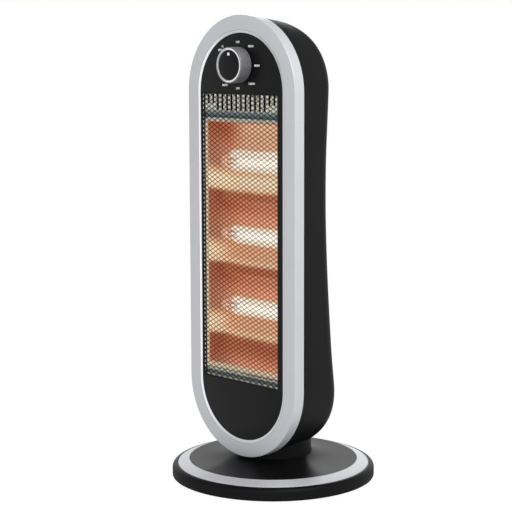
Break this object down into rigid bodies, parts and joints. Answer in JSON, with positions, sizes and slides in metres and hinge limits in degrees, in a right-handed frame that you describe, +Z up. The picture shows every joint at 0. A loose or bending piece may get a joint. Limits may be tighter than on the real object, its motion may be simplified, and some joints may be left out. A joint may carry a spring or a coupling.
{
  "type": "halogen heater",
  "caption": "Upright round-ended halogen heater with a wire guard and lamps before a polished reflector, a rotary knob, and a head that swings on a round weighted base.",
  "frame": {"origin": "middle of the round base at the floor, on the head's swing axis", "axes": "+Z up, the window and knob face -Y, +X is the heater's left as seen from behind and the right as seen from the front"},
  "size_m": [0.26, 0.26, 0.588],
  "materials": {
    "base_gloss": "glossy black moulded plastic",
    "silver_paint": "satin silver paint on plastic",
    "plain_steel": "plain zinc-plated steel",
    "cast_iron": "rough cast",
    "black_rubber": "matt",
    "casing_black": "fine satin black",
    "panel_black": "satin black",
    "white_nylon": "natural nylon",
    "guard_wire": "dark heat-proof coat",
    "polished_sheet": "polished, finely patterned",
    "quartz": "clear quartz",
    "filament": "glowing tungsten",
    "ceramic": "white steatite ceramic",
    "cable_sheath": "matt sleeving"
  },
  "bodies": {
    "base": {"base_cover": "base_gloss", "base_trim_ring": "silver_paint", "base_plate": "plain_steel", "ballast_weight": "cast_iron", "rubber_foot_1": "black_rubber", "rubber_foot_2": "black_rubber", "rubber_foot_3": "black_rubber", "rubber_foot_4": "black_rubber", "rubber_foot_5": "black_rubber", "base_screw_1": "plain_steel", "base_screw_2": "plain_steel", "base_screw_3": "plain_steel", "base_screw_4": "plain_steel", "cord_gland": "black_rubber", "tip_switch": "casing_black", "tip_spring": "plain_steel", "spindle": "plain_steel", "swing_bush": "white_nylon", "thrust_washer": "plain_steel", "spindle_nut": "plain_steel", "link_pin": "plain_steel"},
    "head": {"front_bezel": "silver_paint", "casing_screw_1": "plain_steel", "casing_screw_2": "plain_steel", "casing_screw_3": "plain_steel", "casing_screw_4": "plain_steel", "lamp_bracket_left": "plain_steel", "lamp_bracket_right": "plain_steel", "heat_shield": "plain_steel", "thermal_cutout": "plain_steel", "swing_plate": "plain_steel", "swing_motor": "plain_steel", "rear_casing": "casing_black", "neck_collar": "casing_black", "front_panel": "panel_black", "rotary_switch": "white_nylon", "terminal_block": "white_nylon", "guard_mesh": "guard_wire", "reflector": "polished_sheet", "reflector_frame": "polished_sheet", "halogen_tube_1": "quartz", "halogen_tube_2": "quartz", "halogen_tube_3": "quartz", "filament_1": "filament", "filament_2": "filament", "filament_3": "filament", "lamp_cap_1_left": "ceramic", "lamp_cap_1_right": "ceramic", "lamp_cap_2_left": "ceramic", "lamp_cap_2_right": "ceramic", "lamp_cap_3_left": "ceramic", "lamp_cap_3_right": "ceramic", "supply_loom": "cable_sheath"},
    "knob": {"knob_sleeve": "silver_paint", "knob_face": "panel_black", "switch_shaft": "plain_steel"},
    "crank": {"crank_disc": "plain_steel"},
    "link": {"swing_link": "plain_steel"},
    "tip_plunger": {"tip_plunger": "white_nylon"}
  },
  "joints": [
    {"name": "head_swing", "type": "hinge", "parent": "base", "child": "head", "pos_m": [0, 0, 0.066], "axis": [0, 0, 1], "range_deg": [-30, 30]},
    {"name": "crank_turn", "type": "hinge", "parent": "head", "child": "crank", "pos_m": [0.033, -0.0104, 0.062], "axis": [0, 0, 1], "range_deg": [-57, 57]},
    {"name": "link_turn", "type": "hinge", "parent": "crank", "child": "link", "pos_m": [0.033, -0.026, 0.0585], "axis": [0, 0, 1], "range_deg": [-57, 57]},
    {"name": "knob_turn", "type": "hinge", "parent": "head", "child": "knob", "pos_m": [0, -0.06, 0.5271], "axis": [0, 1, 0], "range_deg": [0, 315]},
    {"name": "tip_slide", "type": "slide", "parent": "base", "child": "tip_plunger", "axis": [0, 0, 1], "range_m": [-0.004, 0], "stiffness_N_per_m": 150, "springref_m": -0.004, "deforming": ["tip_spring"]}
  ],
  "couplings": [
    {"joint": "crank_turn", "follows": "head_swing", "ratio": -1.88},
    {"joint": "link_turn", "follows": "head_swing", "ratio": 1.88}
  ]
}
